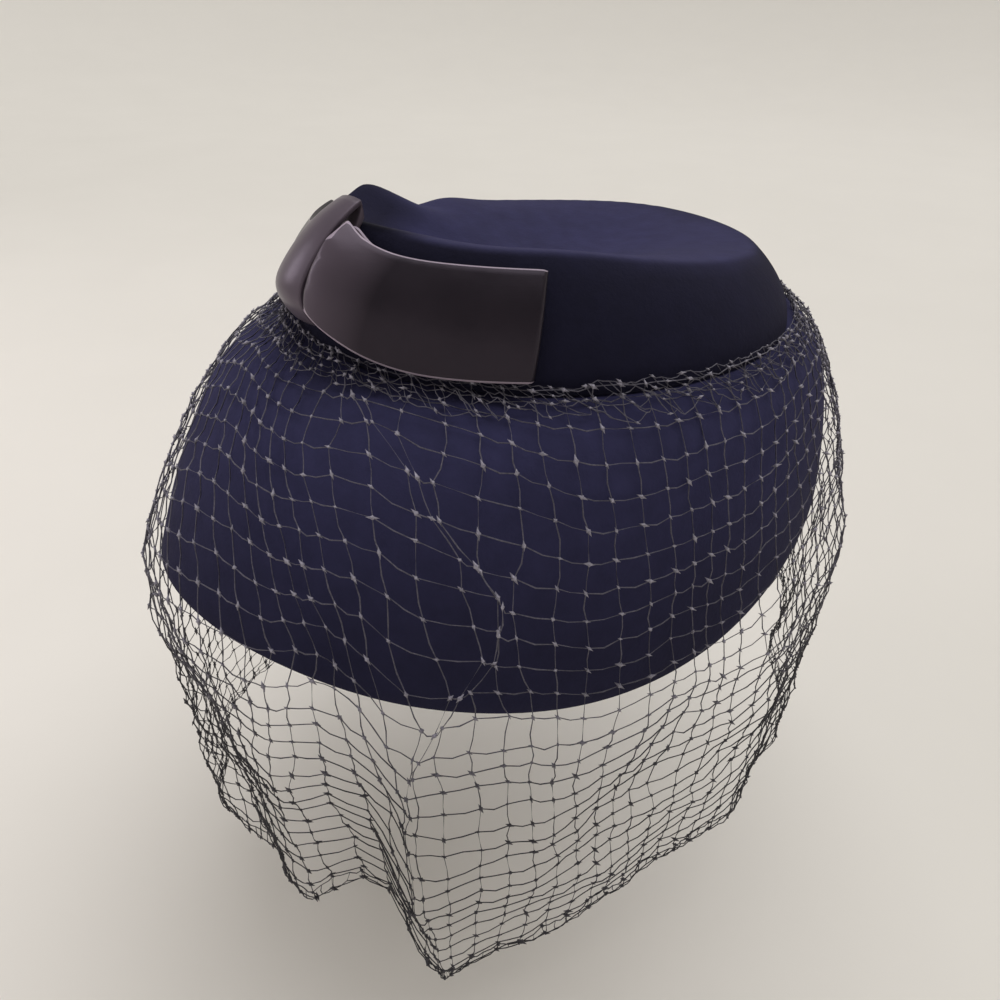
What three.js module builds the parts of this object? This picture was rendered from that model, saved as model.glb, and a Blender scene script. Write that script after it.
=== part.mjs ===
// Pillbox hat of blocked felt: a soft, dished crown on a deep flared brim, with a flat satin bow on the
// front of the crown and a gathered net veil that hangs below the rim.
// Millimetres, +Z up, the wearer's front towards -Y and the wearer's left towards +X.
// The origin is the middle of the crown's foot, where the top of the head comes to rest.
// Angles are in degrees, from the front (-Y) round towards the wearer's left (+X).
import * as THREE from "three";

// Felt and the clearance between two pieces
const feltWall = 2.0;
const pieceGap = 0.3;

// Crown
const crownLength = 152;
const crownWidth = 145;
const crownHeight = 32;
const crestLength = 136;
const crestWidth = 110;
const crestShift = 3;
const wallSlope = 1.8;
const dishDepth = 20;
const hollowDepth = 8;

// Brim
const rimLength = 237;
const rimWidth = 182;
const rimForward = 8.5;
const rimDrop = 75;
const seamLap = 3.2;

// Ribbon bow
const ribbonWidth = 23.5;
const ribbonThickness = 1.0;
const bowReach = 47;
const bowTilt = 3;
const bowStandLeft = 13;
const bowStandRight = 7;
const bowLift = 13.4;
const bowRoll = 2.6;
const knotWidth = 12;
const knotThickness = 1.2;

// Net veil
const veilThickness = 1.2;
const headingHeight = 3.0;
const headingStand = 0.8;
const veilDrop = 182;
const veilStandFront = 5;
const veilStandSide = 12;
const veilFoldDepth = 7;
const meshColumns = 24;
const meshRings = 5;
const knotHalf = 2.25;
const veilLie = 3.0;
const veilBelly = 3;

// Places along the veil: where it has come down to the brim, and where it leaves the rim
const layPlace = 0.126;
const rimPlace = 0.42;

// Facets
const aroundSteps = 60;
const wallSteps = 6;
const dishSteps = 6;
const acrossSteps = 4;
const brimSteps = 3;

const DEGREE = Math.PI / 180;

// Small steps on a surface that its slope is taken over: degrees round it, and a share of the way along
const turnStep = 0.5;
const shareStep = 0.005;

// The crest rises to its full height behind the bow and sinks to half of it at the back. On the
// wearer's right a pinch runs out over it, between the front peak and the long far side.
const crestTable = [
  { angle: -160, height: 0.54 },
  { angle: -125, height: 0.54 },
  { angle: -103, height: 0.58 },
  { angle: -90, height: 0.66 },
  { angle: -76, height: 0.62 },
  { angle: -69, height: 0.8 },
  { angle: -60, height: 0.96 },
  { angle: -48, height: 0.9 },
  { angle: -28, height: 0.9 },
  { angle: -8, height: 0.98 },
  { angle: 12, height: 1.0 },
  { angle: 34, height: 0.95 },
  { angle: 55, height: 0.92 },
  { angle: 72, height: 0.83 },
  { angle: 88, height: 0.73 },
  { angle: 108, height: 0.63 },
  { angle: 130, height: 0.54 },
  { angle: 160, height: 0.51 },
];

// The hollow behind the bow, with its place and half widths as parts of the crest's width and length.
// It fades out over the rim's part of the way from the crest inwards.
const hollow = { right: 0.17, forward: 0.26, halfWidth: 0.25, halfLength: 0.13, rim: 0.3 };

// How far inwards the pinch and the peak run out, and the turns that the crest is evened out over
const pinchReach = 0.4;
const evenTurns = [-60, -40, -20, 0, 20, 40, 60];

// The rim dips at both temples, lifts over the face and is cut higher at the back.
const rimTable = [
  { angle: 0, drop: 0.705 },
  { angle: 22, drop: 0.755 },
  { angle: 45, drop: 0.89 },
  { angle: 68, drop: 0.99 },
  { angle: 88, drop: 0.97 },
  { angle: 110, drop: 0.83 },
  { angle: 140, drop: 0.63 },
  { angle: 180, drop: 0.5 },
];

// Section of the brim from the seam to the rim: a short ledge, a round shoulder and a long fall.
// It goes down sooner at the front and back than at the sides.
const brimTable = [
  { fall: 0.0, reachFront: 0.0, reachSide: 0.0 },
  { fall: 0.0, reachFront: 0.13, reachSide: 0.18 },
  { fall: 0.03, reachFront: 0.27, reachSide: 0.33 },
  { fall: 0.09, reachFront: 0.41, reachSide: 0.5 },
  { fall: 0.19, reachFront: 0.54, reachSide: 0.65 },
  { fall: 0.34, reachFront: 0.66, reachSide: 0.78 },
  { fall: 0.53, reachFront: 0.78, reachSide: 0.88 },
  { fall: 0.76, reachFront: 0.9, reachSide: 0.96 },
  { fall: 1.0, reachFront: 1.0, reachSide: 1.0 },
];

// One loop of the bow from the knot to its end fold. Lift is the height of the lower edge, spread the
// part of the wall that the ribbon covers, low and top the stand-off of the outer layer's two edges
// and inner the stand-off of the layer that lies on the crown.
const loopTable = [
  { along: 0.02, lift: 1.0, spread: 0.78, low: 0.42, top: 0.14, inner: 0.2 },
  { along: 0.1, lift: 1.0, spread: 0.78, low: 0.45, top: 0.16, inner: 0.18 },
  { along: 0.15, lift: 1.0, spread: 0.81, low: 0.89, top: 0.38, inner: 0.14 },
  { along: 0.25, lift: 0.74, spread: 0.84, low: 0.77, top: 0.34, inner: 0.06 },
  { along: 0.42, lift: 0.44, spread: 0.94, low: 0.47, top: 0.22, inner: 0.01 },
  { along: 0.65, lift: 0.33, spread: 1.0, low: 0.34, top: 0.17, inner: 0.0 },
  { along: 1.0, lift: 0.34, spread: 1.0, low: 0.22, top: 0.16, inner: 0.0 },
];

// Closed section of the knot band round the roots of both loops, as height along the crown's wall and
// stand-off from it. Curl is the part by which its two edges turn down from its middle.
const knotTable = [
  { height: 0.3, stand: 0.0, curl: 0.0 },
  { height: 0.26, stand: 0.47, curl: 0.12 },
  { height: 0.36, stand: 0.82, curl: 0.12 },
  { height: 0.44, stand: 0.9, curl: 0.12 },
  { height: 0.54, stand: 0.8, curl: 0.12 },
  { height: 0.68, stand: 0.64, curl: 0.12 },
  { height: 0.85, stand: 0.44, curl: 0.12 },
  { height: 0.97, stand: 0.32, curl: 0.12 },
  { height: 0.94, stand: 0.02, curl: 0.0 },
  { height: 0.74, stand: 0.0, curl: 0.0 },
  { height: 0.52, stand: 0.0, curl: 0.0 },
];

// Lower edge of the veil: long points at the wearer's front left, an even line on the right, shorter
// at the back.
const hemTable = [
  { angle: -150, drop: 0.64 },
  { angle: -100, drop: 0.77 },
  { angle: -60, drop: 0.86 },
  { angle: -15, drop: 0.87 },
  { angle: 8, drop: 0.87 },
  { angle: 24, drop: 0.86 },
  { angle: 36, drop: 0.98 },
  { angle: 50, drop: 0.98 },
  { angle: 65, drop: 0.89 },
  { angle: 85, drop: 0.81 },
  { angle: 100, drop: 0.78 },
  { angle: 150, drop: 0.64 },
];

// Folds of the veil as parts of the fold depth: ridges stand out and valleys sink in.
const foldTable = [
  { angle: -15, depth: 0.5, halfWidth: 9 },
  { angle: 0, depth: -0.4, halfWidth: 9 },
  { angle: 22, depth: -0.7, halfWidth: 9 },
  { angle: 34, depth: 1.0, halfWidth: 9 },
  { angle: 50, depth: -0.3, halfWidth: 10 },
  { angle: 105, depth: 0.5, halfWidth: 14 },
];

// Smooth curve through a table's rows, round the whole hat; a table from 0 to 180 is mirrored.
function roundCurve(rows, column) {
  const mirrored = rows[0].angle === 0;
  const right = mirrored ? rows.slice(1, -1).map((row) => ({ ...row, angle: -row.angle })).reverse() : [];
  const knots = [...right, ...rows];
  const count = knots.length;
  const knot = (i) => {
    const turn = Math.floor(i / count);
    const row = knots[i - turn * count];
    return { angle: row.angle + 360 * turn, value: row[column] };
  };
  const slope = (i) => {
    const before = knot(i - 1);
    const after = knot(i + 1);
    return (after.value - before.value) / (after.angle - before.angle);
  };
  return (angle) => {
    const start = knots[0].angle;
    const wrapped = start + ((((angle - start) % 360) + 360) % 360);
    let i = 0;
    while (knot(i + 1).angle <= wrapped) i += 1;
    return hermite(knot(i), knot(i + 1), slope(i), slope(i + 1), wrapped);
  };
}

function hermite(low, high, slopeLow, slopeHigh, at) {
  const span = high.angle - low.angle;
  const t = (at - low.angle) / span;
  const rise = t * t * (3 - 2 * t);
  const leave = t * (1 - t) * (1 - t);
  const arrive = t * t * (t - 1);
  return low.value + (high.value - low.value) * rise + span * (slopeLow * leave + slopeHigh * arrive);
}

// Smooth curve through a table's rows, from the first row to the last.
function openCurve(rows, key, column) {
  const points = rows.map((row) => ({ angle: row[key], value: row[column] }));
  const last = points.length - 1;
  const slope = (i) => {
    const before = points[Math.max(0, i - 1)];
    const after = points[Math.min(last, i + 1)];
    return (after.value - before.value) / (after.angle - before.angle);
  };
  return (at) => {
    let i = 0;
    while (i < last - 1 && points[i + 1].angle <= at) i += 1;
    return hermite(points[i], points[i + 1], slope(i), slope(i + 1), at);
  };
}

const ease = (t) => t * t * (3 - 2 * t);
const mix = (a, b, share) => a + (b - a) * share;
const between = (a, b, share) => Math.min(1, Math.max(0, (share - a) / (b - a)));

// Point of an oval in plan
function oval(angle, width, length, forward) {
  const turn = angle * DEGREE;
  return new THREE.Vector3((width / 2) * Math.sin(turn), -forward - (length / 2) * Math.cos(turn), 0);
}

// Unit normal of a surface point(u, v), to the left of u as v rises
function normalOf(surface, u, v, du, dv) {
  const alongU = surface(u + du, v).sub(surface(u - du, v));
  const alongV = surface(u, v + dv).sub(surface(u, v - dv));
  return alongU.cross(alongV).normalize();
}

// A closed surface, gathered as corner points and faces
class Shell {
  constructor() {
    this.corners = [];
    this.faces = [];
  }

  add(point) {
    this.corners.push(point.x, point.y, point.z);
    return this.corners.length / 3 - 1;
  }

  triangle(a, b, c) {
    this.faces.push(a, b, c);
  }

  quad(a, b, c, d) {
    this.faces.push(a, b, c, a, c, d);
  }

  mesh(name, color, roughness) {
    const geometry = new THREE.BufferGeometry();
    geometry.setAttribute("position", new THREE.Float32BufferAttribute(this.corners, 3));
    geometry.setIndex(this.faces);
    geometry.computeVertexNormals();
    const material = new THREE.MeshStandardMaterial({ color, roughness, metalness: 0 });
    const mesh = new THREE.Mesh(geometry, material);
    mesh.name = name;
    return mesh;
  }
}

const feltColor = 0x1c1c3a;
const satinColor = 0x2c2430;
const netColor = 0x17161b;

// Crown
const crestShare = roundCurve(crestTable, "height");
const crestHeight = (angle) => crownHeight * crestShare(angle);
const crownFoot = (angle) => oval(angle, crownWidth, crownLength, 0);

function crest(angle) {
  return oval(angle, crestWidth, crestLength, -crestShift).setZ(crestHeight(angle));
}

// Outer face of the crown's wall: upright at the foot and rounding over to level at the crest
function crownWall(angle, lean) {
  const foot = crownFoot(angle);
  const top = crest(angle);
  const inset = 1 - Math.max(0, Math.cos(lean * DEGREE)) ** wallSlope;
  const point = foot.lerp(top.clone().setZ(0), inset);
  return point.setZ(top.z * Math.sin(lean * DEGREE));
}

// Crest height with its pinch and peak evened out over its neighbours
function evenHeight(angle) {
  const heights = evenTurns.map((turn) => crestHeight(angle + turn));
  return heights.reduce((sum, height) => sum + height, 0) / heights.length;
}

// Top of the crown inside the crest: a dish, deepest in a hollow behind the bow. The crest's pinch and
// peak run out a short way down into it.
function crownTip(angle, inward) {
  const middle = new THREE.Vector3(0, crestShift, 0);
  const top = crest(angle);
  const point = top.clone().setZ(0).lerp(middle, inward);
  const across = (point.x / crestWidth + hollow.right) / hollow.halfWidth;
  const along = (point.y / crestLength + hollow.forward) / hollow.halfLength;
  const nearness = Math.exp(-(across ** 2) - along ** 2);
  const edge = ease(between(0, hollow.rim, inward));
  const even = evenHeight(angle);
  const floor = crownHeight - dishDepth;
  const dish = mix(even, floor, ease(inward)) + (top.z - even) * (1 - ease(between(0, pinchReach, inward)));
  return point.setZ(dish - hollowDepth * nearness * edge);
}

function crownOuter(angle, along) {
  return along <= 1 ? crownWall(angle, 90 * along) : crownTip(angle, along - 1);
}

// Ring of points for each step along a wall of felt, with its inner face one wall further in.
// The side is 1 where the steps go up the wall and -1 where they go down.
function feltRings(surface, steps, side) {
  return steps.map((along) => {
    const ring = { outer: [], inner: [] };
    for (let i = 0; i < aroundSteps; i += 1) {
      const angle = (360 * i) / aroundSteps;
      const outer = surface(angle, along);
      const outward = normalOf(surface, angle, along, turnStep, shareStep);
      ring.outer.push(outer);
      ring.inner.push(outer.clone().addScaledVector(outward, -side * feltWall));
    }
    return ring;
  });
}

// Faces between two rings that run the same way round
function skirt(shell, lower, upper) {
  const count = lower.length;
  for (let i = 0; i < count; i += 1) {
    const next = (i + 1) % count;
    shell.quad(lower[i], lower[next], upper[next], upper[i]);
  }
}

function fan(shell, ring, pole) {
  ring.forEach((corner, i) => shell.triangle(corner, ring[(i + 1) % ring.length], pole));
}

function makeCrown() {
  const wallStops = Array.from({ length: wallSteps + 1 }, (_, i) => i / wallSteps);
  const tipStops = Array.from({ length: dishSteps - 1 }, (_, i) => 1 + (i + 1) / dishSteps);
  const rings = feltRings(crownOuter, [...wallStops, ...tipStops], 1);
  const shell = new Shell();
  rings[0].outer.forEach((point) => point.setZ(pieceGap));
  rings[0].inner.forEach((point) => point.setZ(pieceGap));
  const outer = rings.map((ring) => ring.outer.map((point) => shell.add(point)));
  const inner = rings.map((ring) => ring.inner.map((point) => shell.add(point)));
  const pole = crownTip(0, 1);
  for (let i = 1; i < rings.length; i += 1) {
    skirt(shell, outer[i - 1], outer[i]);
    skirt(shell, inner[i], inner[i - 1]);
  }
  skirt(shell, inner[0], outer[0]);
  fan(shell, outer.at(-1), shell.add(pole));
  fan(shell, [...inner.at(-1)].reverse(), shell.add(pole.clone().setZ(pole.z - feltWall)));
  return shell.mesh("crown", feltColor, 0.95);
}

// Brim
const rimShare = roundCurve(rimTable, "drop");
const brimLast = brimTable.length - 1;

function rim(angle) {
  return oval(angle, rimWidth, rimLength, rimForward).setZ(-rimDrop * rimShare(angle));
}

// Outer face of the brim from the seam (0) to the rim (1)
function brimOuter(angle, along) {
  const seam = oval(angle, crownWidth - 2 * seamLap, crownLength - 2 * seamLap, 0);
  const edge = rim(angle);
  const frontness = Math.cos(angle * DEGREE) ** 2;
  const reach = mix(brimCurve.side(along), brimCurve.front(along), frontness);
  const point = seam.lerp(edge.clone().setZ(0), reach);
  return point.setZ(edge.z * brimCurve.fall(along));
}

const brimRows = brimTable.map((row, i) => ({ ...row, along: i / brimLast }));
const brimCurve = {
  fall: openCurve(brimRows, "along", "fall"),
  front: openCurve(brimRows, "along", "reachFront"),
  side: openCurve(brimRows, "along", "reachSide"),
};

function makeBrim() {
  const rings = feltRings(brimOuter, brimRows.map((row) => row.along), -1);
  rings[0].inner.forEach((point, i) => point.copy(rings[0].outer[i]).setZ(-feltWall));
  const shell = new Shell();
  const outer = rings.map((ring) => ring.outer.map((point) => shell.add(point)));
  const inner = rings.map((ring) => ring.inner.map((point) => shell.add(point)));
  for (let i = 1; i < rings.length; i += 1) {
    skirt(shell, outer[i], outer[i - 1]);
    skirt(shell, inner[i - 1], inner[i]);
  }
  skirt(shell, inner.at(-1), outer.at(-1));
  skirt(shell, outer[0], inner[0]);
  return shell.mesh("brim", feltColor, 0.95);
}

// Bow
const leanStep = 2;

// Angle of lean at which the crown's wall is so far up from its foot, measured along the felt
function leanAt(angle, distance) {
  let walked = 0;
  let lean = 0;
  while (lean < 90) {
    const length = crownWall(angle, lean).distanceTo(crownWall(angle, lean + leanStep));
    if (walked + length > distance) return lean + (leanStep * (distance - walked)) / length;
    walked += length;
    lean += leanStep;
  }
  return lean;
}

function offCrown(angle, distance, stand) {
  const lean = leanAt(angle, distance);
  const outward = normalOf(crownWall, angle, lean, turnStep, turnStep);
  return crownWall(angle, lean).addScaledVector(outward, stand);
}

// Solid strip through a grid of middle points: rows along the ribbon, points across it
function stripSolid(rows, thickness, closed) {
  const shell = new Shell();
  const count = rows.length;
  const across = rows[0].length - 1;
  const at = (i) => rows[closed ? (i + count) % count : Math.min(count - 1, Math.max(0, i))];
  const faces = rows.map((row, i) =>
    row.map((point, j) => {
      const along = at(i + 1)[j].clone().sub(at(i - 1)[j]);
      const over = row[Math.min(across, j + 1)].clone().sub(row[Math.max(0, j - 1)]);
      const up = along.cross(over).normalize();
      const front = shell.add(point.clone().addScaledVector(up, thickness / 2));
      const back = shell.add(point.clone().addScaledVector(up, -thickness / 2));
      return { front, back };
    }),
  );
  const last = closed ? count : count - 1;
  for (let i = 0; i < last; i += 1) {
    const here = faces[i];
    const next = faces[(i + 1) % count];
    for (let j = 0; j < across; j += 1) {
      shell.quad(here[j].front, next[j].front, next[j + 1].front, here[j + 1].front);
      shell.quad(here[j].back, here[j + 1].back, next[j + 1].back, next[j].back);
    }
    shell.quad(here[0].front, here[0].back, next[0].back, next[0].front);
    shell.quad(here[across].front, next[across].front, next[across].back, here[across].back);
  }
  if (!closed) {
    const first = faces[0];
    const end = faces[count - 1];
    for (let j = 0; j < across; j += 1) {
      shell.quad(first[j].front, first[j + 1].front, first[j + 1].back, first[j].back);
      shell.quad(end[j].front, end[j].back, end[j + 1].back, end[j + 1].front);
    }
  }
  return shell;
}

const ribbonSeat = ribbonThickness / 2 + 2 * pieceGap;
const loopCurve = Object.fromEntries(
  ["lift", "spread", "low", "top", "inner"].map((column) => [column, openCurve(loopTable, "along", column)]),
);

// Stand-off of the outer layer: its lower part stands away, its top rolls in towards the crest
function outerStand(along, share) {
  const low = loopCurve.low(along);
  return low - (low - loopCurve.top(along)) * share ** bowRoll;
}

function makeLoop(name, side, bowStand) {
  const row = (along, standOf) => {
    const points = [];
    for (let j = 0; j <= acrossSteps; j += 1) {
      const share = j / acrossSteps;
      const distance = bowLift * loopCurve.lift(along) + ribbonWidth * loopCurve.spread(along) * share;
      const angle = along * (bowReach + bowTilt * (share - 0.5));
      points.push(offCrown(side * angle, distance, ribbonSeat + bowStand * standOf(along, share)));
    }
    return points;
  };
  const innerStand = (along) => loopCurve.inner(along);
  const stops = loopTable.map((entry) => entry.along);
  const finer = stops.flatMap((along, i) => (i === 0 ? [along] : [mix(stops[i - 1], along, 0.5), along]));
  const end = finer.at(-1);
  const foldTurns = [30, 60, 90, 120, 150];
  const foldRadius = bowStand * (loopCurve.low(end) - loopCurve.inner(end)) * 0.5;
  const foldReach = foldRadius / (bowReach * DEGREE * (crownWidth / 2));
  const fold = foldTurns.map((turn) =>
    row(end + foldReach * Math.sin(turn * DEGREE), (along, share) =>
      mix(innerStand(end), outerStand(end, share), (1 + Math.cos(turn * DEGREE)) / 2),
    ),
  );
  const outer = finer.map((along) => row(along, outerStand));
  const inner = [...finer].reverse().map((along) => row(along, innerStand));
  const rows = [...outer, ...fold, ...inner];
  return stripSolid(side > 0 ? rows : rows.reverse(), ribbonThickness, false).mesh(name, satinColor, 0.4);
}

function makeKnot() {
  const bandLength = bowLift + ribbonWidth;
  const rows = knotTable.map((entry) => {
    const points = [];
    for (let j = 0; j <= acrossSteps; j += 1) {
      const share = (2 * j) / acrossSteps - 1;
      const turn = (share * knotWidth) / crownLength / DEGREE;
      const curl = 1 - entry.curl * share ** 2;
      points.push(offCrown(turn, bandLength * entry.height, ribbonSeat + bowStandLeft * entry.stand * curl));
    }
    return points;
  });
  return stripSolid(rows.reverse(), knotThickness, true).mesh("bow_knot", satinColor, 0.4);
}

// Veil
const hemShare = roundCurve(hemTable, "drop");

function foldAt(angle) {
  return foldTable.reduce((sum, fold) => {
    const away = ((((angle - fold.angle) % 360) + 540) % 360) - 180;
    return sum + fold.depth * Math.exp(-((away / fold.halfWidth) ** 2));
  }, 0);
}

// Middle of the heading, a band that stands in the corner between the crown and the brim
function headingPoint(angle, height) {
  const before = crownFoot(angle - turnStep);
  const after = crownFoot(angle + turnStep);
  const outward = new THREE.Vector3(after.y - before.y, before.x - after.x, 0).normalize();
  const point = crownFoot(angle).addScaledVector(outward, headingStand + veilThickness / 2);
  return { point: point.setZ(pieceGap + height), outward };
}

// Middle surface of the net from the heading (0) over the brim to the rim and down to the hem (1)
function veilSurface(angle, along) {
  const sideness = Math.sin(angle * DEGREE) ** 2;
  const stand = mix(veilStandFront, veilStandSide, sideness);
  const lie = mix(veilLie, stand, ease(between(layPlace, rimPlace, along)));
  const onBrim = mix(1 / brimLast, 1, between(0, rimPlace, along));
  const felt = brimOuter(angle, onBrim);
  const level = Math.min(onBrim, 1 - 2 * shareStep);
  const outward = normalOf(brimOuter, angle, level, turnStep, shareStep).negate();
  if (along <= rimPlace) {
    const start = headingPoint(angle, veilThickness).point;
    return start.lerp(felt.addScaledVector(outward, lie), ease(between(0, layPlace, along)));
  }
  const hang = between(rimPlace, 1, along);
  const point = felt.addScaledVector(outward, stand);
  const away = new THREE.Vector3(Math.sin(angle * DEGREE), -Math.cos(angle * DEGREE), 0);
  const belly = veilBelly * (Math.sin(Math.PI * hang) - hang);
  point.addScaledVector(away, veilFoldDepth * foldAt(angle) * ease(hang) + belly);
  return point.setZ(mix(point.z, -veilDrop * hemShare(angle), hang));
}

// Flat strands, built from pairs of corners on the outer and the inner face of the net
class Net extends Shell {
  pair(point, half) {
    return { front: this.add(point.clone().add(half)), back: this.add(point.clone().sub(half)) };
  }

  onSheet(angle, along) {
    const level = Math.min(1 - shareStep, Math.max(shareStep, along));
    const outward = normalOf(veilSurface, angle, level, turnStep, shareStep).negate();
    const pair = this.pair(veilSurface(angle, along), outward.multiplyScalar(veilThickness / 2));
    return { ...pair, angle, along };
  }

  onHeading(angle, height, upward) {
    const { point, outward } = headingPoint(angle, height);
    const pair = this.pair(point, outward.setZ(upward).multiplyScalar(veilThickness / 2));
    return { ...pair, angle, along: 0 };
  }

  face(a, b, c, d) {
    this.quad(a.front, b.front, c.front, d.front);
    this.quad(a.back, d.back, c.back, b.back);
  }

  edge(a, b) {
    this.quad(a.front, a.back, b.back, b.front);
  }

  // One strand from a knot to a knot of the ring below, in short steps where it bends over the brim
  strand(from, to, side, steps) {
    const other = side === "left" ? "right" : "left";
    const turn = Math.round((from.below.angle - to.above.angle) / 360) * 360;
    const between = (start, end, share) =>
      this.onSheet(mix(start.angle, end.angle + turn, share), mix(start.along, end.along, share));
    let upper = from[side];
    let lower = from.below;
    for (let i = 1; i <= steps; i += 1) {
      const nextUpper = i === steps ? to.above : between(from[side], to.above, i / steps);
      const nextLower = i === steps ? to[other] : between(from.below, to[other], i / steps);
      if (side === "left") {
        this.face(upper, lower, nextLower, nextUpper);
        this.edge(nextUpper, upper);
        this.edge(lower, nextLower);
      } else {
        this.face(lower, upper, nextUpper, nextLower);
        this.edge(upper, nextUpper);
        this.edge(nextLower, lower);
      }
      upper = nextUpper;
      lower = nextLower;
    }
  }
}

// Knots of one ring. Each has corners above and below its middle and on its right and left. The top
// ring's knots hang from the heading and have none above.
function knotRing(net, ring) {
  const halfAngle = knotHalf / (DEGREE * (rimWidth / 2));
  const halfAlong = knotHalf / veilDrop;
  const along = Math.min(ring / meshRings, 1 - halfAlong);
  const top = ring === 0;
  return Array.from({ length: meshColumns }, (_, i) => {
    const angle = ((i + (ring % 2) / 2) * 360) / meshColumns;
    const beside = (turn) => (top ? net.onHeading(turn, veilThickness / 2, 1) : net.onSheet(turn, along));
    return {
      above: top ? null : net.onSheet(angle, along - halfAlong),
      below: net.onSheet(angle, along + halfAlong),
      right: beside(angle - halfAngle),
      left: beside(angle + halfAngle),
    };
  });
}

// Gathered heading: a band round the crown's foot, from which the top ring's knots hang
function addHeading(net, knots) {
  const stops = knots.flatMap((knot) => [
    { low: knot.right, overMesh: false },
    { low: knot.left, overMesh: true },
  ]);
  const high = stops.map((stop) => net.onHeading(stop.low.angle, headingHeight, 0));
  stops.forEach((stop, i) => {
    const next = (i + 1) % stops.length;
    net.face(high[i], stop.low, stops[next].low, high[next]);
    net.edge(high[next], high[i]);
    if (stop.overMesh) net.edge(stop.low, stops[next].low);
  });
  knots.forEach((knot) => {
    net.triangle(knot.right.front, knot.below.front, knot.left.front);
    net.triangle(knot.right.back, knot.left.back, knot.below.back);
  });
}

// Net of crossed strands with a knot at each crossing, cut through between them
function makeVeil() {
  const net = new Net();
  const rings = Array.from({ length: meshRings + 1 }, (_, ring) => knotRing(net, ring));
  rings.slice(0, -1).forEach((ring, level) => {
    const steps = level / meshRings < rimPlace ? brimSteps : 1;
    const next = rings[level + 1];
    ring.forEach((knot, i) => {
      const onLeft = (i + (level % 2)) % meshColumns;
      const onRight = (onLeft - 1 + meshColumns) % meshColumns;
      net.strand(knot, next[onLeft], "left", steps);
      net.strand(knot, next[onRight], "right", steps);
    });
  });
  addHeading(net, rings[0]);
  rings.slice(1).flat().forEach((knot) => net.face(knot.above, knot.right, knot.below, knot.left));
  rings.at(-1).forEach((knot) => {
    net.edge(knot.right, knot.below);
    net.edge(knot.below, knot.left);
  });
  return net.mesh("veil", netColor, 0.8);
}

const hat = new THREE.Group();
hat.add(makeCrown());
hat.add(makeBrim());
hat.add(makeLoop("bow_loop_left", 1, bowStandLeft));
hat.add(makeLoop("bow_loop_right", -1, bowStandRight));
hat.add(makeKnot());
hat.add(makeVeil());

export default hat;
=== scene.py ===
# Pillbox hat of blocked navy felt, with a flat satin bow on the front of its crown and a knotted net
# veil. Metres, +Z up, the wearer's front towards -Y and the wearer's left towards +X.
import math
import random

import bmesh
import bpy
from mathutils import Matrix, Vector, noise
from mathutils.bvhtree import BVHTree


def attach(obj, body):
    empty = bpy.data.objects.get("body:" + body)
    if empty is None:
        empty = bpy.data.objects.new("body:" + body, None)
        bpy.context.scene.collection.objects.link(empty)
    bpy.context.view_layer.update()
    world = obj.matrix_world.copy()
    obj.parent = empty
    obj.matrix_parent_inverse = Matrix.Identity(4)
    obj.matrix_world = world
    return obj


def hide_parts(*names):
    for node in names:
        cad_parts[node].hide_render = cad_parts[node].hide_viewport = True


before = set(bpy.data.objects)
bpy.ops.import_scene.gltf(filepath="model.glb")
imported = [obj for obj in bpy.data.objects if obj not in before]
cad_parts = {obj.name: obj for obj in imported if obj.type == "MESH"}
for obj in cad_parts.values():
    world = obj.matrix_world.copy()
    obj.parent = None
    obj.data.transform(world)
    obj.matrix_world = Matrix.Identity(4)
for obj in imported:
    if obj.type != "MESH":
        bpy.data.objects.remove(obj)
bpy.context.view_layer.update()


# Felt crown and brim. Each is one hood of fur felt, steamed over a block, stiffened and cut: the crown
# is soft and dished, the brim falls to a plain cut rim. The nap is matte and velvety, deep navy, with
# a faint mottle where the steam and the hand have laid it.
class Value:
    """One socket of a material, which takes part in arithmetic."""

    def __init__(self, material, socket):
        self.material = material
        self.socket = socket

    def joined(self, other, operation):
        return self.material.node("ShaderNodeMath", {"operation": operation}, {0: self, 1: other})

    def __add__(self, other):
        return self.joined(other, "ADD")

    def __radd__(self, other):
        return self.joined(other, "ADD")

    def __mul__(self, other):
        return self.joined(other, "MULTIPLY")

    def __rmul__(self, other):
        return self.joined(other, "MULTIPLY")


class Cloth:
    """A material in the making: its nodes come from one method."""

    def __init__(self, name):
        self.made = bpy.data.materials.new(name)
        self.made.use_nodes = True
        self.tree = self.made.node_tree
        self.shader = self.tree.nodes["Principled BSDF"]

    def node(self, kind, settings=None, values=None, output=0):
        node = self.tree.nodes.new(kind)
        for key, setting in (settings or {}).items():
            if key == "stops":
                for stop, (place, tone) in zip(node.color_ramp.elements, setting):
                    stop.position = place
                    stop.color = (*tone, 1)
            else:
                setattr(node, key, setting)
        for key, value in (values or {}).items():
            self.put(node.inputs[key], value)
        return Value(self, node.outputs[output])

    def put(self, socket, value):
        if isinstance(value, Value):
            self.tree.links.new(value.socket, socket)
        else:
            socket.default_value = value

    def set(self, **values):
        for key, value in values.items():
            self.put(self.shader.inputs[key.replace("_", " ")], value)

    def place(self, stretch=(1, 1, 1)):
        spot = self.node("ShaderNodeTexCoord", output=3)
        return self.node("ShaderNodeMapping", None, {"Vector": spot, "Scale": stretch})

    def grain(self, place, scale, detail=3.0, roughness=0.6):
        values = {"Vector": place, "Scale": scale, "Detail": detail, "Roughness": roughness}
        return self.node("ShaderNodeTexNoise", None, values)

    def colour(self, factor, low, high):
        return self.node("ShaderNodeValToRGB", {"stops": [(0.0, low), (1.0, high)]}, {"Fac": factor})

    def bump(self, height, depth, strength=1.0, under=None):
        values = {"Height": height, "Distance": depth, "Strength": strength}
        if under:
            values["Normal"] = under
        return self.node("ShaderNodeBump", None, values)


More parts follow.
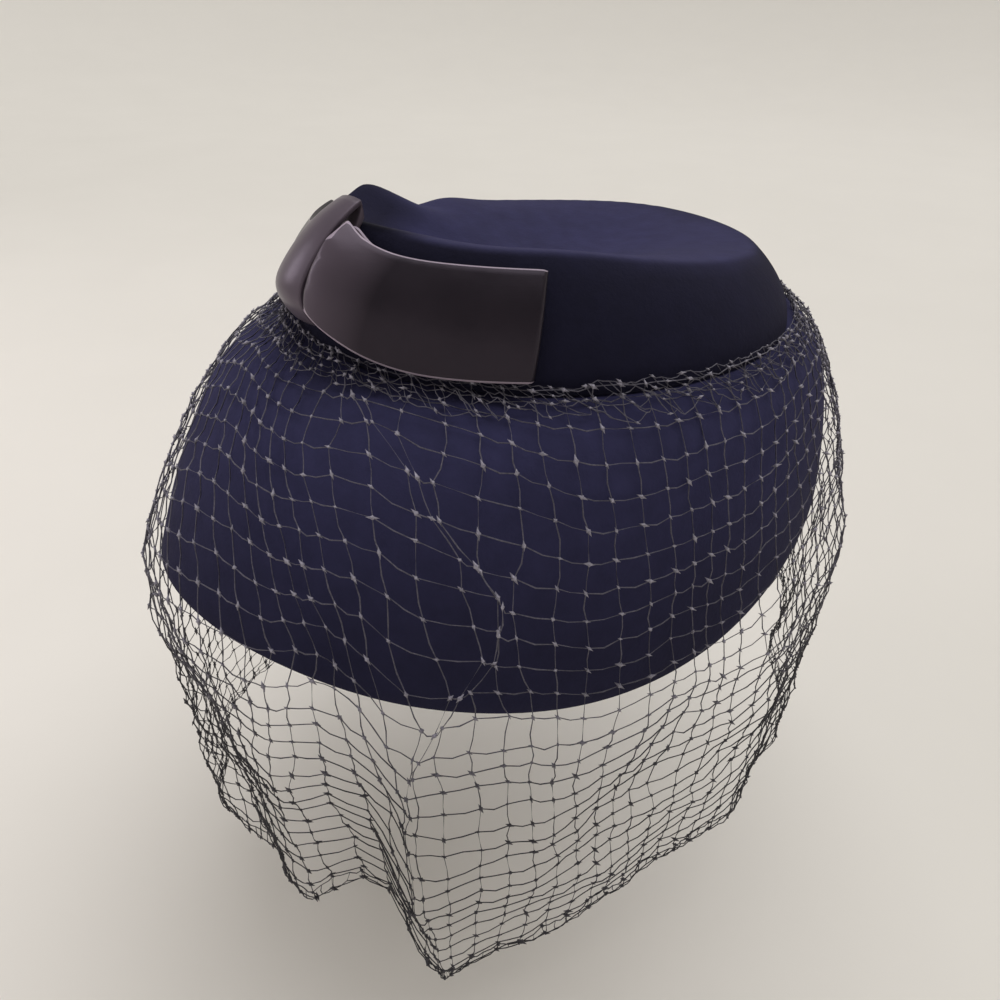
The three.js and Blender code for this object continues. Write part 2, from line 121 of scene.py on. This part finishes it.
def navy_felt():
    felt = Cloth("navy_felt")
    place = felt.place()
    cloud = felt.grain(place, 38.0, 4.0)
    fibre = felt.grain(place, 900.0, 3.0, 0.7)
    nap_and_painted_shade = felt.grain(place, 160.0, 5.0, 0.65)
    # Painted shade: the colour is darkened by the share that each felt piece's vertices carry
    lie = felt.node("ShaderNodeAttribute", {"attribute_name": "nap_and_painted_shade"}, output=2)
    tone = (cloud * 0.22 + nap_and_painted_shade * 0.28 + 0.25) * lie
    felt.set(
        Base_Color=felt.colour(tone, (0.003, 0.003, 0.004), (0.060, 0.059, 0.152)),
        Roughness=0.84 + cloud * 0.15,
        Sheen_Weight=0.02,
        Sheen_Roughness=0.5,
        Sheen_Tint=(0.6, 0.5, 0.9, 1),
        Specular_IOR_Level=0.08,
        Normal=felt.bump(fibre, 0.00035, 0.5, felt.bump(nap_and_painted_shade, 0.0006, 0.35)),
    )
    return felt.made


def cleaned(node):
    """A copy of a node's solid with its corners merged and its triangles paired."""
    shape = bmesh.new()
    shape.from_mesh(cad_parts[node].data)
    bmesh.ops.remove_doubles(shape, verts=shape.verts, dist=0.00001)
    bmesh.ops.join_triangles(
        shape,
        faces=shape.faces,
        angle_face_threshold=math.radians(40),
        angle_shape_threshold=math.radians(70),
    )
    return shape


def crease_edges(shape, turn, sharpness):
    crease = shape.edges.layers.float.new("crease_edge")
    for edge in shape.edges:
        if len(edge.link_faces) == 2 and edge.calc_face_angle() > math.radians(turn):
            edge[crease] = sharpness


def finished(shape, name, materials, levels):
    """Puts a mesh into the scene as a smooth piece that rides with the hat."""
    mesh = bpy.data.meshes.new(name)
    shape.to_mesh(mesh)
    shape.free()
    mesh.shade_smooth()
    for material in materials:
        mesh.materials.append(material)
    piece = bpy.data.objects.new(name, mesh)
    bpy.context.scene.collection.objects.link(piece)
    if levels:
        smoother = piece.modifiers.new("smooth_form", "SUBSURF")
        smoother.levels = levels
        smoother.render_levels = levels
    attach(piece, "root")
    return piece


def eased(value, low, high):
    """0 up to the low end, 1 from the high end on, with a soft start and stop between them."""
    share = min(1.0, max(0.0, (value - low) / (high - low)))
    return share * share * (3 - 2 * share)


# Painted shade: the felt's colour is darkened on the crown's wall, in the hollow behind the bow and
# towards the rim, where shade falls: the share of its colour that is left, and what the peak beside the
# hollow gives back
WALL_SHADE = 0.28
HOLLOW_SHADE = 0.06
PEAK_SHADE_LIFT = 0.3
RIM_SHADE = 0.45
# How far the felt leans outwards where the top turns into the wall, from 0 for level to 1 for upright
WALL_LEAN = (0.3, 0.65)
# The hollow lies this way from the middle, starts this far out with a soft edge, and is this high up
HOLLOW_WAY = Vector((-0.54, -0.84))
HOLLOW_START = 0.039
HOLLOW_EDGE = 0.006
HOLLOW_HEIGHTS = (0.010, 0.016)
# The peak rises between these distances to the wearer's right
PEAK_SIDE = (0.012, 0.036)
# The brim's lower edge and the height from which it has its full colour
RIM_HEIGHTS = (-0.070, -0.010)


# Painted shade on the crown: darker on its wall and in the hollow behind the bow, less so at the peak
def crown_painted_shade(vert):
    flat = vert.co.to_2d()
    wall = eased(vert.normal.to_2d().dot(flat.normalized()), *WALL_LEAN)
    hollow = eased(flat.dot(HOLLOW_WAY), HOLLOW_START, HOLLOW_START + HOLLOW_EDGE)
    hollow *= eased(vert.co.z, *HOLLOW_HEIGHTS) * (1 - wall)
    dim = HOLLOW_SHADE + PEAK_SHADE_LIFT * eased(-vert.co.x, *PEAK_SIDE)
    return (1 - (1 - WALL_SHADE) * wall) * (1 - (1 - dim) * hollow)


# Painted shade on the brim: darker towards the rim
def brim_painted_shade(vert):
    return RIM_SHADE + (1 - RIM_SHADE) * eased(vert.co.z, *RIM_HEIGHTS)


felt = navy_felt()
for node, name, painted_shade_at in (("crown", "felt_crown", crown_painted_shade), ("brim", "felt_brim", brim_painted_shade)):
    hood = cleaned(node)
    crease_edges(hood, 60, 0.85)
    hood.normal_update()
    # Each vertex carries the share of colour that its painted shade leaves
    nap_and_painted_shade = hood.verts.layers.float.new("nap_and_painted_shade")
    for vert in hood.verts:
        vert[nap_and_painted_shade] = painted_shade_at(vert)
    piece = finished(hood, name, [felt], 2)
    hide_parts(node)


# Satin bow. Two loops of one-inch ribbon lie flat against the crown, each folded back on itself at its
# end and caught under a narrow band. The satin is dark aubergine, with paler woven selvages.
# Each ribbon: its node, its piece and its length and width laid flat
BOW = (
    ("bow_loop_left", "ribbon_loop_left", (0.131, 0.0235)),
    ("bow_loop_right", "ribbon_loop_right", (0.122, 0.0235)),
    ("bow_knot", "ribbon_knot", (0.071, 0.012)),
)
# Painted sheen: the satin is paler beside the knot, fully up to the first distance from the middle
PAINTED_SHEEN_REACH = (0.009, 0.024)
SELVAGE_WIDTH = 0.0004
# Ribbon edges turn sharper than this, in degrees, and its long edges climb less than this share
EDGE_TURN = 60
LEVEL_CLIMB = 0.6


def aubergine_satin(name, woven, pale):
    satin = Cloth(name)
    threads = satin.grain(satin.place((300, 300, 4200)), 1.0, 2.0)
    slub = satin.grain(satin.place(), 55.0, 3.0)
    spot = satin.node("ShaderNodeTexCoord", output=3)
    across = satin.node("ShaderNodeSeparateXYZ", None, {"Vector": spot}, 0)
    # Painted sheen: the base colour is paler near the knot and fades out along the loops
    sheen_reach_values = {"Value": across * across, "From Min": PAINTED_SHEEN_REACH[0] ** 2, "From Max": PAINTED_SHEEN_REACH[1] ** 2}
    painted_sheen = satin.node("ShaderNodeMapRange", None, {**sheen_reach_values, "To Min": 0.55, "To Max": 0.0})
    tone = slub * 0.1 + painted_sheen + woven
    satin.set(
        Base_Color=satin.colour(tone, (0.006, 0.005, 0.008), pale),
        Roughness=0.26 + 0.12 * slub,
        Specular_IOR_Level=0.3,
        Specular_Tint=(0.95, 0.8, 1.0, 1),
        Normal=satin.bump(threads, 0.0001, 0.15, satin.bump(slub, 0.0010, 0.3)),
    )
    return satin.made


def weave_selvages(ribbon):
    """Rounds the ribbon's long edges and gives them its second material."""
    corners = [edge for edge in ribbon.edges if edge.calc_face_angle(0) > math.radians(EDGE_TURN)]
    runs = [(edge, edge.verts[1].co - edge.verts[0].co) for edge in corners]
    woven = bmesh.ops.bevel(
        ribbon,
        geom=[edge for edge, run in runs if abs(run.z) < LEVEL_CLIMB * run.length],
        offset=SELVAGE_WIDTH,
        segments=1,
        profile=0.5,
        affect="EDGES",
        clamp_overlap=True,
        material=-1,
    )
    for face in woven["faces"]:
        face.material_index = 1


satin = aubergine_satin("aubergine_satin", 0.0, (0.15, 0.12, 0.155))
selvage = aubergine_satin("satin_selvage", 0.8, (0.36, 0.30, 0.37))
for node, name, flat in BOW:
    ribbon = cleaned(node)
    if node != "bow_knot":
        weave_selvages(ribbon)
    crease_edges(ribbon, 40, 0.8)
    piece = finished(ribbon, name, [satin, selvage], 2)
    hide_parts(node)


# Net veil. A strip of square knotted net, gathered in small pleats round the crown's foot, falls over
# the brim and hangs free below the rim. Its strands are fine nylon with a knot at every crossing, and
# it is pulled into long folds at the wearer's front left.
# The net: its mesh, its count of meshes round and down, a strand's thickness and half a knot's length
NET_COLUMNS = 108
NET_ROWS = 28
STRAND = 0.00034
KNOT = 0.00135
# Lowest edge of the net, by degrees from the front towards the wearer's left
HEM = (
    (-150, 0.120), (-100, 0.140), (-60, 0.160), (-15, 0.166), (14, 0.161), (24, 0.147), (29, 0.152),
    (34, 0.171), (41, 0.175), (50, 0.176), (56, 0.172), (62, 0.165), (72, 0.159), (82, 0.153),
    (92, 0.147), (102, 0.140), (150, 0.120), (210, 0.120),
)
# The net starts this far off the crown and this high on the brim's ledge, and it turns down this far
# inside the rim
NET_START = (0.0012, 0.0026)
RIM_MARGIN = 0.0002
# Middle of the brim, the height where the crown's foot is measured and a reach outside all the felt
BRIM_MIDDLE = Vector((0.0, -0.004, 0.0))
CROWN_FOOT = 0.0012
OUTSIDE = 0.2
# The rim lies between these two reaches all the way round
RIM_REACH = (0.075, 0.140)
# The net's way down the hat is measured every few degrees, in steps that grow shorter to the rim
FALL_TURN = 3
FALL_STEPS = 26


def along_table(table, at, column=1):
    """A table's value at a place between its rows, eased from row to row."""
    for low, high in zip(table, table[1:]):
        if at <= high[0]:
            return low[column] + (high[column] - low[column]) * eased(at, low[0], high[0])
    return table[-1][column]


def turned(angle, middle):
    """Degrees from one direction to another, the short way round."""
    return (angle - middle + 180) % 360 - 180


def fading(angle, middle, half):
    """1 in the middle, less and less to either side."""
    return math.exp(-((turned(angle, middle) / half) ** 2))


def outward(angle):
    return Vector((math.sin(math.radians(angle)), -math.cos(math.radians(angle)), 0.0))


def felt_tree(node):
    solid = cleaned(node)
    tree = BVHTree.FromBMesh(solid)
    solid.free()
    return tree


brim_tree = felt_tree("brim")
crown_tree = felt_tree("crown")
# The waves, crumples and ruffles of the net are drawn from one set of noise, the same at each run
noise.seed_set(11)


def brim_height(angle, reach):
    above = BRIM_MIDDLE + outward(angle) * reach + Vector((0, 0, OUTSIDE))
    return brim_tree.ray_cast(above, Vector((0, 0, -1)))[0]


def crown_reach(angle):
    start = BRIM_MIDDLE + outward(angle) * OUTSIDE + Vector((0, 0, CROWN_FOOT))
    hit = crown_tree.ray_cast(start, -outward(angle))
    return (hit[0] - BRIM_MIDDLE).to_2d().length


def rim_reach(angle):
    low, high = RIM_REACH
    for _ in range(18):
        middle = (low + high) / 2
        low, high = (middle, high) if brim_height(angle, middle) else (low, middle)
    return low


class Fall:
    """The line that the net follows down one side of the hat: over the brim, then free."""

    def __init__(self, angle):
        self.angle = angle
        near = crown_reach(angle) + NET_START[0]
        far = rim_reach(angle) - RIM_MARGIN
        self.points = [Vector((near, NET_START[1]))]
        for i in range(1, FALL_STEPS + 1):
            share = math.sin(math.pi / 2 * i / FALL_STEPS)
            reach = near + (far - near) * share
            self.points.append(Vector((reach, brim_height(angle, reach).z)))
        self.lengths = [0.0]
        for a, b in zip(self.points, self.points[1:]):
            self.lengths.append(self.lengths[-1] + (b - a).length)
        self.rim = self.points[-1]
        self.hem = along_table(HEM, (angle + 150) % 360 - 150)
        self.whole = self.lengths[-1] + self.hem + self.rim.y

    def at(self, length):
        """Reach and height on the felt or below the rim, the way out from it, and the depth hung."""
        if length >= self.lengths[-1]:
            hang = length - self.lengths[-1]
            return self.rim - Vector((0, hang)), Vector((1, 0)), hang
        i = max(k for k in range(len(self.lengths) - 1) if self.lengths[k] <= length)
        a, b = self.points[i], self.points[i + 1]
        share = (length - self.lengths[i]) / (self.lengths[i + 1] - self.lengths[i])
        along = (b - a).normalized()
        return a.lerp(b, share), Vector((-along.y, along.x)), 0.0


FALLS = [Fall(angle) for angle in range(0, 360, FALL_TURN)]


def fall_at(angle):
    """The falls to either side of an angle, and how far it lies from the first to the second."""
    place = (angle % 360) / FALL_TURN
    low = int(place)
    return FALLS[low % len(FALLS)], FALLS[(low + 1) % len(FALLS)], place - low


def columns_by_rim(count):
    """Angles that share the rim out evenly."""
    rim = [BRIM_MIDDLE + outward(fall.angle) * fall.rim.x for fall in FALLS]
    steps = [(after - before).length for before, after in zip(rim, rim[1:] + rim[:1])]
    angles = []
    walked, i = 0.0, 0
    for k in range(count):
        goal = sum(steps) * k / count
        while walked + steps[i] < goal:
            walked += steps[i]
            i += 1
        angles.append(FALL_TURN * (i + (goal - walked) / steps[i]))
    return angles


# Course of the long fold that starts beside the bow, swings out over the brim and drops at the front
# left: the share of the drop, then its place in degrees, how wide and how tightly the net gathers
# there and how far it stands out
COURSE = (
    (0.00, 6, 8.0, 0.6, 0.0012), (0.09, 20, 8.0, 0.85, 0.0030), (0.18, 35, 7.0, 1.0, 0.0050),
    (0.27, 45, 6.0, 1.05, 0.0054), (0.34, 44, 6.0, 1.05, 0.0048), (0.41, 38, 6.0, 1.0, 0.0045),
    (0.54, 34, 7.0, 0.9, 0.005), (0.75, 35, 8.0, 0.9, 0.009), (1.00, 38, 9.0, 0.8, 0.010),
)
# Pulls of the net along the heading: where, how far and over how many degrees it is drawn aside, down
# to this share of its drop
PULLS = ((20, 26, 30), (-30, 22, 28), (105, -8, 30), (-85, 6, 30), (165, 6, 30), (230, -6, 30))
PULL_END = 0.42
# Slack of the net: where its rows ride up or sag, by how much of its drop, on the felt and below the
# rim, and over how many degrees
SLACK = (
    (40, -0.035, 0.075, 18), (78, 0.050, 0.0, 24), (10, -0.020, -0.045, 16), (-30, 0.030, 0.030, 25),
    (200, 0.020, 0.020, 40),
)
# Drift of the net: how closely its waves follow round and down, and how far they move it, in degrees
# round and in shares of its drop
DRIFT_ROUND = 3.2
DRIFT_DOWN = 2.6
DRIFT_TURN = 4.0
DRIFT_SHARE = 0.2
# How far the net stands off the felt: everywhere, below the shoulder, and at the two sides besides
LIE = 0.0014
LIFT = 0.0034
SIDE_LIFT = 0.007
# Long folds of the hanging net: how far they stand out or sink in, and half their width in degrees
FOLDS = (
    (-52, -0.004, 9), (-30, 0.005, 8), (-12, 0.004, 7), (2, -0.005, 7), (17, 0.003, 5), (26, -0.007, 6),
    (47, -0.003, 8), (74, -0.003, 8), (92, 0.004, 8), (112, 0.004, 9), (128, -0.004, 8),
    (160, 0.004, 9), (190, -0.004, 9), (222, 0.004, 9), (250, -0.004, 9), (278, 0.004, 9),
)
# Shares of the drop where the lift and the folds start, and over which they grow to the full
LIFT_GROWS = (0.12, 0.33)
FOLD_GROWS = (0.3, 0.6)
# The hanging net leans in by this share of its depth
LEAN_IN = 0.05
# Small crumples, coarse and fine: how close together and how deep, and how much of them at the top
CRUMPLES = ((48.0, 0.0024), (130.0, 0.0011))
CRUMPLED_TOP = 0.35


def grown(share, start, over):
    return min(1.0, max(0.0, (share - start) / over))


def net_point(angle, share):
    """A point of the veil from the heading (0) to the hem (1)."""
    pull = sum(drawn * fading(angle, at, half) for at, drawn, half in PULLS)
    drift = noise.noise_vector(outward(angle) * DRIFT_ROUND + Vector((0, 0, DRIFT_DOWN * share)))
    turn = angle - pull * max(0.0, 1 - share / PULL_END) ** 1.2
    turn += DRIFT_TURN * drift.x * math.sin(math.pi * share)
    course, width, tightness, ridge = (along_table(COURSE, share, column) for column in (1, 2, 3, 4))
    beside = turned(turn, course) / width
    turn -= width * tightness * beside * math.exp(-(beside**2))
    wave = math.sin(2 * math.pi * share)
    slack = sum(
        (wave * high if wave > 0 else -wave * low) * fading(angle, at, half)
        for at, high, low, half in SLACK
    )
    down = share + slack + DRIFT_SHARE * drift.y * share * (1 - share)
    one, two, mix = fall_at(turn)
    spots = [fall.at(fall.whole * down) for fall in (one, two)]
    place = spots[0][0].lerp(spots[1][0], mix)
    out = spots[0][1].lerp(spots[1][1], mix).normalized()
    hang = spots[0][2] * (1 - mix) + spots[1][2] * mix
    side = abs(math.sin(math.radians(turn))) ** 2
    lie = LIE + (LIFT + SIDE_LIFT * side) * grown(share, *LIFT_GROWS) ** 1.5
    place = place + out * (lie + ridge * math.exp(-(beside**2)))
    fold = sum(depth * fading(turn, at, half) for at, depth, half in FOLDS)
    place.x += fold * grown(share, *FOLD_GROWS)
    place.x -= LEAN_IN * hang
    point = BRIM_MIDDLE + outward(turn) * place.x + Vector((0, 0, place.y))
    crumple = sum((noise.noise_vector(point * close) * deep for close, deep in CRUMPLES), Vector())
    return point + crumple * min(1.0, CRUMPLED_TOP + share)


def net_mesh(columns, rows, point_at):
    """Square net laid on a surface, with the place and the slant of each of its knots."""
    net = bmesh.new()
    bmesh.ops.create_grid(net, x_segments=columns, y_segments=rows, size=0.5)
    knots = []
    for vert in net.verts:
        across, down = vert.co.x + 0.5, 0.5 - vert.co.y
        vert.co = point_at(across, down)
        if across < 0.999:
            way = 0.5 if down < 0.5 else -0.5
            slant = point_at(across + way / columns, down + way / rows) - vert.co
            knots.append((vert.co.copy(), slant.normalized()))
    bmesh.ops.remove_doubles(net, verts=net.verts, dist=0.00001)
    return net, knots


def strands(net, thickness, sag):
    """Turns the edges of the net into strands, each with a small sag and a bend of its own."""
    bmesh.ops.bisect_edges(net, edges=net.edges, cuts=1)
    wander = random.Random(7)
    for vert in net.verts:
        if len(vert.link_edges) == 2:
            vert.co += Vector([wander.uniform(-sag, sag) for _ in range(3)]) + Vector((0, 0, -sag))
    bmesh.ops.wireframe(
        net,
        faces=net.faces,
        thickness=thickness,
        offset=0.0,
        use_replace=True,
        use_boundary=True,
        use_even_offset=False,
    )


# A knot is a slim body with a turn of thread across, each a share of its length wide, deep and long.
# Knots lean at random and differ in size.
KNOT_FORM = ((0.3, 0.3, 1.0), (0.42, 0.4, 0.55))
KNOT_LEAN = 0.3
KNOT_SIZES = (0.7, 1.3)


def tie_knots(net, places, length, seed):
    """Ties a knot at each place, drawn long by the slant of the net, in its second material."""
    ball = bmesh.new()
    for form in KNOT_FORM:
        matrix = Matrix.Diagonal((*form, 1))
        bmesh.ops.create_uvsphere(ball, u_segments=4, v_segments=2, radius=length, matrix=matrix)
    for face in ball.faces:
        face.material_index = 1
    pattern = bpy.data.meshes.new("knot")
    ball.to_mesh(pattern)
    ball.free()
    wander = random.Random(seed)
    for place, slant in places:
        along = Vector((0, 0, 1)).rotation_difference(slant).to_matrix().to_4x4()
        nod = Matrix.Rotation(wander.gauss(0, KNOT_LEAN), 4, "X")
        tip = Matrix.Rotation(wander.gauss(0, KNOT_LEAN), 4, "Y")
        size = Matrix.Scale(wander.uniform(*KNOT_SIZES), 4)
        knot = pattern.copy()
        knot.transform(Matrix.Translation(place) @ along @ nod @ tip @ size)
        net.from_mesh(knot)
        bpy.data.meshes.remove(knot)
    bpy.data.meshes.remove(pattern)


# The net is painted paler on the felt, where the light falls on it, than where it hangs free in shade:
# what is left of its painted light there, and the heights between which it changes
HANGING_SHADE = 0.12
HUNG_HEIGHTS = (-0.100, -0.045)


def black_nylon(name, low, high, shine):
    nylon = Cloth(name)
    twist = nylon.grain(nylon.place(), 1500.0, 2.0)
    spot = nylon.node("ShaderNodeTexCoord", output=3)
    height = nylon.node("ShaderNodeSeparateXYZ", None, {"Vector": spot}, 2)
    fade = {"Value": height, "From Min": HUNG_HEIGHTS[0], "From Max": HUNG_HEIGHTS[1]}
    # Painted light and shade: paler above these heights, darker where the net hangs free
    painted_light = nylon.node("ShaderNodeMapRange", None, {**fade, "To Min": HANGING_SHADE, "To Max": 1.0})
    nylon.set(
        Base_Color=nylon.colour(twist * painted_light, low, high),
        Roughness=0.38 + 0.2 * twist,
        Specular_IOR_Level=shine,
    )
    return nylon.made


# The pale upper colours are painted highlight, paler still on the knots where the light catches them;
# the nylon itself is black
thread = black_nylon("black_thread", (0.008, 0.007, 0.010), (0.19, 0.18, 0.23), 0.3)
knotted = black_nylon("black_knot", (0.010, 0.009, 0.013), (0.52, 0.495, 0.60), 0.4)

# The heading: a narrow ruffle of the same net round the crown's foot, slanted by some degrees
HEADING_COLUMNS = 170
HEADING_ROWS = 3
HEADING_DEPTH = 0.0085
HEADING_SLANT = 7
# Its ruffles: how closely they follow round and down, how far they turn it in degrees, how much they
# lengthen it, and how high it stands
RUFFLE_ROUND = 26
RUFFLE_DOWN = 1.7
RUFFLE_TURN = 3.0
RUFFLE_LENGTH = 0.5
HEADING_LIE = 0.0012
HEADING_RISE = 0.0028


def heading_place(across, down):
    around = 360 * across
    spot = Vector((math.cos(math.radians(around)), math.sin(math.radians(around)), 0)) * RUFFLE_ROUND
    ruffle = noise.noise_vector(spot + Vector((0, 0, RUFFLE_DOWN * down)))
    turn = around + HEADING_SLANT * down + RUFFLE_TURN * ruffle.z * down
    low, high, mix = fall_at(turn)
    length = HEADING_LIE + HEADING_DEPTH * down * (1 + RUFFLE_LENGTH * ruffle.x)
    place = low.at(length)[0].lerp(high.at(length)[0], mix)
    arch = math.sin(math.pi * min(1.0, 0.25 + 0.6 * down))
    place.y += HEADING_LIE + HEADING_RISE * (0.6 + ruffle.y) * arch
    return BRIM_MIDDLE + outward(turn) * place.x + Vector((0, 0, place.y))


heading, heading_knots = net_mesh(HEADING_COLUMNS, HEADING_ROWS, heading_place)
strands(heading, 0.8 * STRAND, 0.0003)
tie_knots(heading, heading_knots[::3], 0.8 * KNOT, 5)

# The first row is drawn up to the heading by part of a mesh
TOP_MESH = 0.6
TOP_SHARE = 0.018

columns = columns_by_rim(NET_COLUMNS)


def veil_place(across, down):
    column = across * NET_COLUMNS
    low = int(column + 1e-6)
    start = columns[low % NET_COLUMNS]
    after = columns[(low + 1) % NET_COLUMNS]
    angle = start + ((after - start) % 360) * (column - low)
    row = down * NET_ROWS
    share = max(0.0, (row - TOP_MESH) / (NET_ROWS - TOP_MESH)) if row >= 1 else TOP_SHARE * row
    return net_point(angle, share)


# The hem: the last strands are looped back on themselves, in a strip of this share of the net's drop,
# with a small frill
HEM_SHARE = 0.022
HEM_DROP = 0.0006
FRILL_CLOSE = 160.0
FRILL_DEEP = 0.0016


def hem_place(across, down):
    place = veil_place(across, 1 - HEM_SHARE * (1 - down))
    frill = noise.noise_vector(place * FRILL_CLOSE) * FRILL_DEEP
    return place + frill + Vector((0, 0, -HEM_DROP))


hem, hem_knots = net_mesh(2 * NET_COLUMNS, 1, hem_place)
strands(hem, STRAND, 0.0004)
tie_knots(hem, hem_knots[::2], 1.1 * KNOT, 9)

net, knot_places = net_mesh(NET_COLUMNS, NET_ROWS, veil_place)
strands(net, STRAND, 0.0005)
tie_knots(net, knot_places, KNOT, 3)
for edging in (heading, hem):
    joined = bpy.data.meshes.new("net_edging")
    edging.to_mesh(joined)
    edging.free()
    net.from_mesh(joined)
    bpy.data.meshes.remove(joined)
veil = finished(net, "net_veil", [thread, knotted], 0)
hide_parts("veil")


# Studio. A pale table top that curves up into a plain pale surround, with a wide soft light overhead
# and a small one from the wearer's front right, seen from the front left and a little above, with the
# lens close to the hat.
def tabletop():
    table = Cloth("pale_table")
    tone = table.grain(table.place(), 6.0)
    table.set(
        Base_Color=table.colour(tone, (0.71, 0.685, 0.63), (0.75, 0.725, 0.67)),
        Roughness=0.6 + 0.1 * tone,
    )
    return table.made


# The table is level out to its reach, and over the width beyond that it climbs ever faster
TABLE_HEIGHT = -0.2085
TABLE_REACH = 2.4
SWEEP_WIDTH = 4.6
SWEEP_CLIMB = 0.16
floor_shape = bmesh.new()
level_part = [TABLE_REACH * i / 4 for i in range(5)]
curved_part = [TABLE_REACH + SWEEP_WIDTH * i / 12 for i in range(1, 13)]
outline = []
for reach in level_part + curved_part:
    rise = SWEEP_CLIMB * max(0.0, reach - TABLE_REACH) ** 2
    outline.append(floor_shape.verts.new((reach, 0, TABLE_HEIGHT + rise)))
for before, after in zip(outline, outline[1:]):
    floor_shape.edges.new((before, after))
bmesh.ops.spin(
    floor_shape,
    geom=floor_shape.verts[:] + floor_shape.edges[:],
    cent=(0, 0, 0),
    axis=(0, 0, 1),
    angle=2 * math.pi,
    steps=96,
    use_merge=True,
)
bmesh.ops.remove_doubles(floor_shape, verts=floor_shape.verts, dist=0.00001)
bmesh.ops.recalc_face_normals(floor_shape, faces=floor_shape.faces)
floor_mesh = bpy.data.meshes.new("table_top")
floor_shape.to_mesh(floor_mesh)
floor_shape.free()
floor_mesh.shade_smooth()
floor_mesh.materials.append(tabletop())
floor = bpy.data.objects.new("table_top", floor_mesh)
bpy.context.scene.collection.objects.link(floor)

bpy.context.scene.view_settings.view_transform = "Standard"
world = bpy.data.worlds.new("surround")
bpy.context.scene.world = world
world.use_nodes = True
world.node_tree.nodes["Background"].inputs["Color"].default_value = (1.0, 0.94, 0.83, 1)
world.node_tree.nodes["Background"].inputs["Strength"].default_value = 0.26


def hang_lamp(name, kind, spot, way, power, tint):
    lamp = bpy.data.lights.new(name, kind)
    lamp.energy = power
    lamp.color = tint
    holder = bpy.data.objects.new(name, lamp)
    holder.location = spot
    holder.rotation_euler = way.to_track_quat("-Z", "Y").to_euler()
    bpy.context.scene.collection.objects.link(holder)
    return lamp


WINDOW_SPOT = Vector((-0.75, -0.70, 0.52))
WINDOW_AIM = Vector((0, -0.07, 0.02))
window = hang_lamp("window", "AREA", WINDOW_SPOT, WINDOW_AIM - WINDOW_SPOT, 2.6, (1.0, 0.93, 1.0))
window.shape = "DISK"
window.size = 0.5
CEILING_WAY = Vector((0.10, -0.38, -0.92))
ceiling = hang_lamp("ceiling", "SUN", Vector(), CEILING_WAY, 2.15, (0.98, 0.975, 1.0))
ceiling.angle = math.radians(70)

LENS = 27.04
CAMERA_SPOT = Vector((0.1689, -0.1611, 0.0748))
CAMERA_LOOK = Vector((-0.637, 0.547, -0.544)).normalized()
CAMERA_RIGHT = Vector((0.643, 0.765, 0.016))
view = bpy.data.cameras.new("view")
view.lens = LENS
view.sensor_width = 36
view.clip_start = 0.01
camera = bpy.data.objects.new("view", view)
up = CAMERA_RIGHT.cross(CAMERA_LOOK).normalized()
right = CAMERA_LOOK.cross(up).normalized()
turn = Matrix((right, up, -CAMERA_LOOK)).transposed()
camera.matrix_world = Matrix.Translation(CAMERA_SPOT) @ turn.to_4x4()
bpy.context.scene.collection.objects.link(camera)
bpy.context.scene.camera = camera
